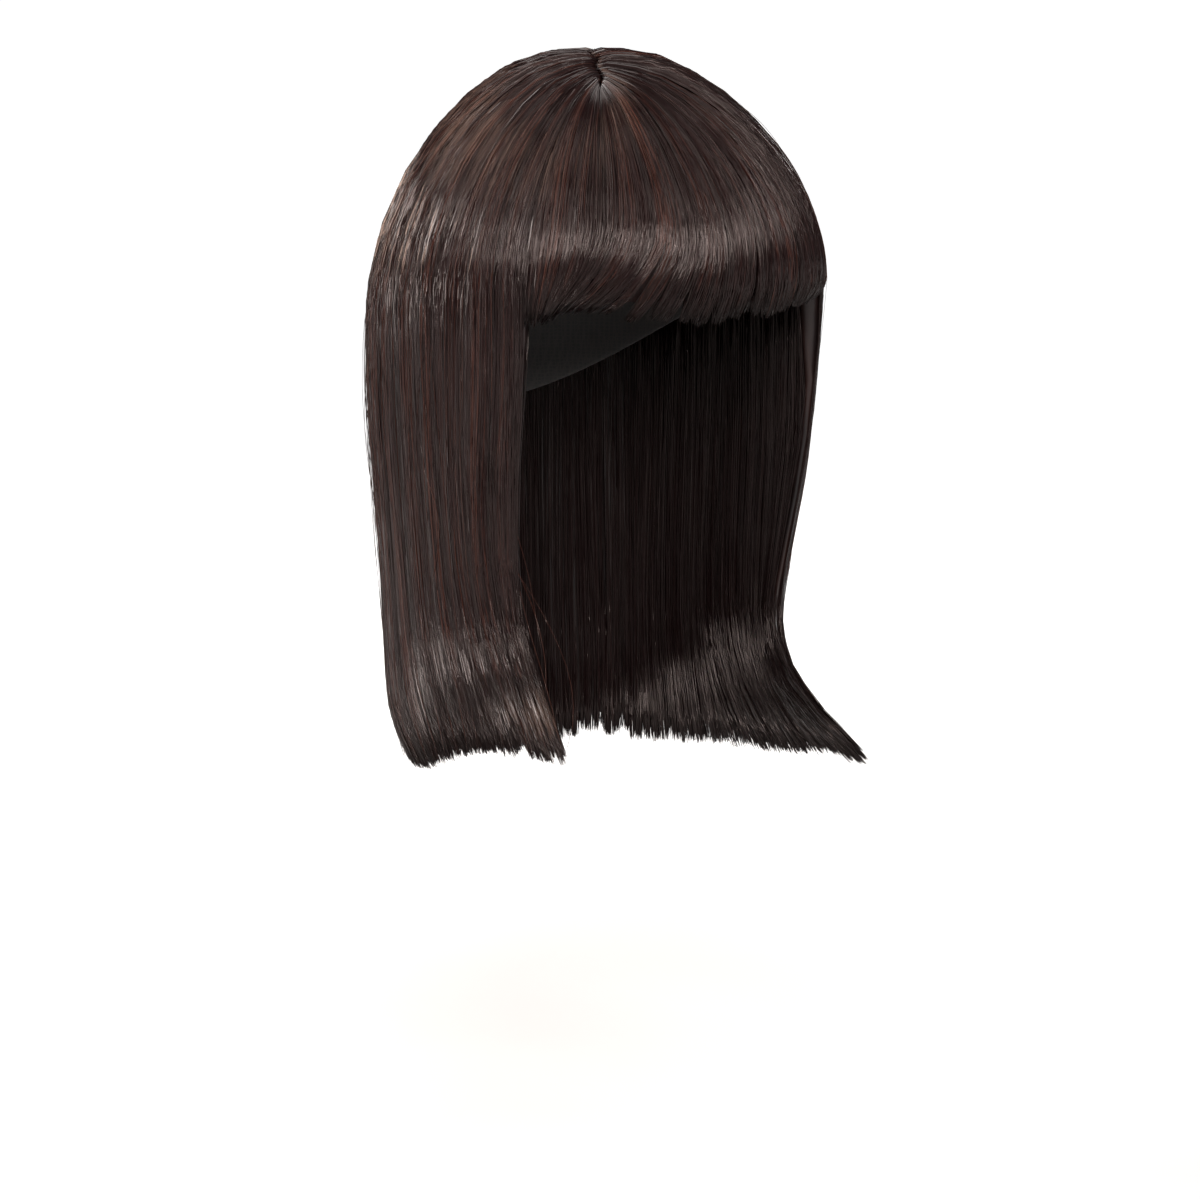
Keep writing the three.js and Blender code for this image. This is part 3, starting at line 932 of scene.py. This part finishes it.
def packed_hair(name, section, columns, rows):
    """The mass of hair under the strands that show: a closed body, thinned out short of the hem."""
    across = np.linspace(PACKED_MARGIN, 1 - PACKED_MARGIN, columns)[None, :]
    end = 2 - PACKED_SHORTER / section.hang_length
    way = section.ways(PACKED_START, end, rows)[:, None]
    end_distance = section.distance(np.float64(end))
    thinner = smoothstep(section.distance(way), end_distance - PACKED_TAPER, end_distance)
    shape = np.broadcast_shapes(across.shape, way.shape)
    across, way, thinner = (np.broadcast_to(values, shape) for values in (across, way, thinner))
    outer = section.points(across, way, lerp(PACKED_OUTSIDE, PACKED_END_OUTSIDE, thinner))
    inner = section.points(across, way, lerp(PACKED_INSIDE, PACKED_END_INSIDE, thinner))
    loops = np.concatenate([outer, inner[:, ::-1]], axis=1)
    around = loops.shape[1]
    column = np.arange(columns - 1)
    ends = []
    for row, flip in ((0, False), (shape[0] - 1, True)):
        near = row * around + column
        far = (row + 1) * around - 1 - column
        end_quads = np.stack([near, near + 1, far - 1, far], -1)
        ends.append(end_quads[:, ::-1] if flip else end_quads)
    thing = new_mesh_object(
        name, loops.reshape(-1, 3), [ring_faces(shape[0], around), np.concatenate(ends)], packed
    )
    place = np.concatenate([across, across[:, ::-1]], axis=1) * section.width
    inside = np.concatenate([np.zeros(shape), np.ones(shape)], axis=1)
    lengthways = np.broadcast_to(section.distance(way[:, :1]), place.shape)
    set_vectors(thing, "combed", np.stack([place, lengthways, inside], -1).reshape(-1, 3))
    return thing


def dress(section, name, node, layers, body_size, seed, **combing):
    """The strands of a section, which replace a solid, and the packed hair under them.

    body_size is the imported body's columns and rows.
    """
    groups = [
        comb(section, seed + i, count, points, ranges[0:2], ranges[2:4], ranges[4:6], **combing)
        for i, (count, points, *ranges) in enumerate(layers)
    ]
    pieces = [strands(name, groups, seed + len(layers), modacrylic)]
    if body_size is not None:
        pieces.append(packed_hair(name + "_packed", section, *body_size))
    for piece in pieces:
        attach(piece, "root")
    if node is not None:
        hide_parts(node)


SWEEP_LENGTH = 62.0
SWEEP = 21.0
SWEEP_POWER = 2.2
SWEPT_FROM, SWEPT_MOST, SWEPT_TO = -0.03, 0.25, 0.66  # across the fringe


def fringe_sweep(across, to_end):
    """The fringe is combed towards the wearer's right at that side."""
    rising = smoothstep(across, SWEPT_FROM, SWEPT_MOST)
    falling = 1 - smoothstep(across, SWEPT_MOST, SWEPT_TO)
    return -SWEEP / fringe.width * rising * falling * near_end(to_end, SWEEP_LENGTH, SWEEP_POWER)


fringe = Section(
    -FRINGE_CORNER,
    FRINGE_CORNER,
    FRINGE_LOCKS,
    FRINGE_NOTCH,
    FRINGE_END_THICKNESS,
    fringe_point,
    FRINGE_DROP,
    FRINGE_SPACING,
    seed=1,
)
dress(fringe, "fringe_hair", "fringe", FRINGE_LAYERS, (60, 26), 11, gather=0.7, sweep=fringe_sweep)

# Side hair

# The hair at both sides of the opening, combed down and turned forward at its ends with a hot iron.
# The wearer's right side hangs nearly straight, and the left flares out.

HANG_LENGTH = 180.0
SIDE_HANG_LENGTH = 165.0  # along a strand from the widest level to the hem
HAIR_END_THICKNESS = 7.0
FRONT_EDGE_THICKNESS = 4.5
FRONT_EDGE_WIDTH = 12.0
FRONT_EDGE_START = 0.3
NOTCH_DEPTH = 2.2
BACK_CORNER = 112.0
BEHIND_TURN = 128.0
SWING_END = 150.0

# Share of the way to the hem; x and y at the front edge, x at the side, swing forward, radius
# behind the side and at the back, as shares of the widest outline
HANGING = np.array(
    [
        (0.00, 1.00, 1.00, 1.000, 0.00, 1.000, 1.000),
        (0.20, 0.99, 0.95, 0.990, 0.00, 0.990, 1.000),
        (0.40, 0.98, 0.84, 0.965, 0.00, 0.960, 0.980),
        (0.60, 0.93, 0.72, 0.930, 0.00, 0.935, 0.960),
        (0.75, 0.88, 0.71, 0.910, 0.01, 0.925, 0.945),
        (0.88, 0.90, 0.98, 0.920, 0.09, 0.915, 0.930),
        (1.00, 1.02, 1.50, 0.960, 0.25, 0.860, 0.890),
    ]
)
# Angle from straight ahead, and share of the hanging length
HEM = np.array(
    [
        (-180, 1.0),
        (-128, 0.985),
        (-95, 0.91),
        (-70, 0.87),
        (-50, 0.86),
        (50, 0.935),
        (90, 0.975),
        (128, 0.99),
        (180, 1.0),
    ]
)
RIGHT_LOCKS = np.array(
    [
        (0.9, 1.0, 0.9),
        (1.2, 0.8, 1.2),
        (0.8, 1.1, 0.6),
        (1.1, 0.8, 0.8),
        (0.9, 1.0, 0.9),
        (0.8, 0.7, 1.4),
    ]
)
LEFT_LOCKS = np.array(
    [
        (0.8, 0.8, 1.4),
        (1.0, 1.0, 0.7),
        (1.2, 0.8, 1.1),
        (0.8, 1.0, 0.6),
        (1.1, 0.9, 1.0),
        (0.9, 1.0, 0.8),
    ]
)
HANGING_SPACING = np.array(
    [
        (0.0, 2.0),
        (0.04, 3.0),
        (0.12, 13.0),
        (0.9, 16.0),
        (1.15, 36.0),
        (1.5, 40.0),
        (1.7, 16.0),
        (2.0, 9.0),
    ]
)
# For both sides, as for the fringe, the inner layers' low tones are painted shade
RIGHT_LAYERS = (
    (560, 18, 0.00, 0.05, 0.0, 0.0, 0.0, 1.0),
    (1150, 14, 0.00, 0.08, 0.15, 0.85, 0.0, 1.0),
    (800, 6, 0.05, 0.95, 1.62, 1.8, 0.0, 0.8),
    (330, 9, 0.93, 1.0, 0.88, 1.0, 0.0, 0.3),
)
LEFT_LAYERS = (
    (520, 18, 0.00, 0.05, 0.0, 0.0, 0.0, 1.0),
    (1050, 14, 0.00, 0.08, 0.15, 0.85, 0.0, 1.0),
    (800, 6, 0.05, 0.95, 1.62, 1.8, 0.0, 0.8),
    (330, 9, 0.93, 1.0, 0.88, 1.0, 0.0, 0.3),
)


def hang_point(angle, share, drop, lift):
    degrees = np.degrees(angle)
    degrees = np.where(degrees > 180, degrees - 360, degrees)
    turn = np.abs(degrees)
    edge_x, edge_y, side_x, forward, back_side, back = (
        along_rows(HANGING, column, share) for column in range(1, 7)
    )
    to_side = smoothstep(turn, FRINGE_CORNER, SIDE_TURN)
    behind = lerp(back_side, back, smoothstep(turn, BEHIND_TURN, 180))
    to_back_side = smoothstep(turn, SIDE_TURN, BEHIND_TURN)
    scale_x = lerp(lerp(edge_x, side_x, to_side), behind, to_back_side)
    scale_y = lerp(lerp(edge_y, side_x, to_side), behind, to_back_side)
    swing = to_side * (1 - smoothstep(turn, SIDE_TURN, SWING_END))
    x, y = outline(angle, lift)
    hem = -OCCIPUT_DEPTH - HANG_LENGTH * along_rows(HEM, 1, degrees) - drop
    level = widest_level(y, lift)
    moved_y = y * scale_y - forward * (HEAD_FRONT + lift) * swing
    return np.stack([x * scale_x, moved_y, lerp(level, hem, share)], -1)


def side_section(low, high, locks, front_edge, seed):
    section = Section(
        low,
        high,
        locks,
        NOTCH_DEPTH,
        HAIR_END_THICKNESS,
        hang_point,
        SIDE_HANG_LENGTH,
        HANGING_SPACING,
        seed,
    )
    section.front_edge = front_edge
    return section


FORWARD_SWEEP_LENGTH = 90.0
FORWARD_SWEEP = 13.0


def forward_sweep(towards):
    """The ends are combed forward, most in the middle of the section.

    Towards is 1 where the front lies at the section's high angle, and -1 at its low one.
    """

    def sweep(across, to_end):
        pull = towards * FORWARD_SWEEP / right_side.width * 4 * across * (1 - across)
        return pull * near_end(to_end, FORWARD_SWEEP_LENGTH, 2)

    return sweep


right_side = side_section(-BACK_CORNER, -FRINGE_CORNER, RIGHT_LOCKS, -FRINGE_CORNER, 2)
left_side = side_section(FRINGE_CORNER, BACK_CORNER, LEFT_LOCKS, FRINGE_CORNER, 3)
for side, name, node, layers, seed, towards in (
    (right_side, "right_side_hair", "side_hair_right", RIGHT_LAYERS, 21, 1),
    (left_side, "left_side_hair", "side_hair_left", LEFT_LAYERS, 31, -1),
):
    dress(side, name, node, layers, (36, 36), seed, sweep=forward_sweep(towards))

# Back hair

# The hair round the back from one side to the other, combed straight down and cut to one length.
# It is sewn in rows up the back of the cap, each row falling over the one below.

BACK_HANG_LENGTH = 182.0
BACK_LOCKS = np.array(
    [
        (1.0, 1.0, 0.8),
        (1.3, 0.8, 1.2),
        (0.8, 1.0, 0.7),
        (1.1, 0.7, 1.0),
        (1.2, 1.1, 1.2),
        (0.9, 0.8, 0.6),
        (1.1, 1.0, 1.0),
        (1.3, 0.8, 1.3),
        (0.8, 1.0, 0.7),
        (1.1, 0.8, 1.1),
        (1.0, 1.0, 0.9),
    ]
)
BACK_OUTER_LAYERS = (
    (700, 17, 0.00, 0.05, 0.0, 0.0, 0.0, 1.0),
    (1720, 13, 0.00, 0.08, 0.15, 0.85, 0.0, 1.0),
)
# The inner layers' low tones are painted shade on the inside of the hair
BACK_INNER_LAYERS = (
    (1500, 6, 0.05, 0.95, 1.62, 1.8, 0.0, 0.8),
    (850, 9, 0.93, 1.0, 0.88, 1.0, 0.0, 0.3),
)
back = Section(
    BACK_CORNER,
    360 - BACK_CORNER,
    BACK_LOCKS,
    NOTCH_DEPTH,
    HAIR_END_THICKNESS,
    hang_point,
    BACK_HANG_LENGTH,
    HANGING_SPACING,
    seed=4,
)
dress(back, "back_hair_outer", "back_hair", BACK_OUTER_LAYERS, (66, 36), 41)
dress(back, "back_hair_inner", None, BACK_INNER_LAYERS, None, 51)

# Loose hairs

# Single fibres that the comb left: they stand off the surface, cross it or pass the cut ends.
# They are the same fibre as the rest, knotted or sewn in among it.

LOOSE_RADIUS = 0.1
LOOSE_POINTS = 12
LOOSE_BEYOND_HEM = 5.0
LOOSE_LIFT = 0.01  # above the combed surface, as a share of the hair's thickness
LOOSE_BOW = (0.5, 1.1)  # how much of half a wave a loose hair bows in
LOOSE_ARCH = (0.7, 1.3)  # where along it stands off most: earlier below 1, later above
LOOSE_STRAY_SPREAD = 0.7
LOOSE_LEAST_OFF = 0.2
LOOSE_LEAST_TONE = 0.5
# Section, number, across from and to, way where they start from and to, length from and to, how
# far they stand off, and how far they stray aside
LOOSE_HAIRS = (
    (fringe, 40, 0.0, 1.0, 0.15, 0.7, 25, 70, 1.2, 2.5),
    (right_side, 40, 0.0, 1.0, 0.3, 1.2, 50, 120, 1.6, 3.0),
    (right_side, 14, 0.2, 0.8, 1.05, 1.4, 50, 90, 0.8, 11.0),
    (right_side, 9, 0.96, 1.0, 1.5, 1.65, 50, 75, 0.8, 9.0),
    (right_side, 30, 0.0, 1.0, 1.7, 1.8, 45, 58, 0.5, 1.5),
    (left_side, 36, 0.0, 0.35, 1.2, 1.65, 50, 95, 2.4, 2.0),
    (left_side, 25, 0.0, 1.0, 0.2, 1.0, 50, 120, 1.6, 3.0),
    (left_side, 30, 0.0, 1.0, 1.7, 1.8, 45, 58, 0.5, 1.5),
    (back, 36, 0.78, 1.0, 0.8, 1.3, 60, 120, 3.2, 3.0),
    (back, 50, 0.0, 0.8, 0.2, 1.3, 50, 130, 1.8, 3.0),
    (back, 40, 0.0, 1.0, 1.7, 1.8, 50, 66, 0.5, 1.5),
)


def loose_hairs(seed, section, count, *ranges, off, stray):
    """Paths and tones as comb gives them."""
    across_low, across_high, start_low, start_high, short, long = ranges
    each = (count, 1)
    rng = np.random.default_rng(seed)
    across = rng.uniform(across_low, across_high, each)
    first = section.distance(rng.uniform(start_low, start_high, each))
    last = section.distance(np.float64(2.0)) + rng.uniform(0, LOOSE_BEYOND_HEM, each)
    share = np.linspace(0, 1, LOOSE_POINTS)[None, :]
    distance = first + np.minimum(rng.uniform(short, long, each), last - first) * share
    beyond = (distance - CROWN_LENGTH) / section.hang_length
    way = np.where(distance < CROWN_LENGTH, distance / CROWN_LENGTH, 1 + beyond)
    bow = np.sin(np.pi * share * rng.uniform(*LOOSE_BOW, each))
    aside = stray * rng.normal(0, LOOSE_STRAY_SPREAD, each) * bow + section.drift(across, distance)
    standing = off * rng.uniform(LOOSE_LEAST_OFF, 1, each)
    standing = standing * np.sin(np.pi * share ** rng.uniform(*LOOSE_ARCH, each))
    depth = -LOOSE_LIFT - standing / HAIR_THICKNESS
    paths = section.points(across + aside / section.width, way, depth)
    return paths, rng.uniform(LOOSE_LEAST_TONE, 1, count)


loose_groups = [
    loose_hairs(61 + i, *row, off=off, stray=stray)
    for i, (*row, off, stray) in enumerate(LOOSE_HAIRS)
]
loose = strands("loose_hairs", loose_groups, 60, modacrylic, LOOSE_RADIUS)
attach(loose, "root")
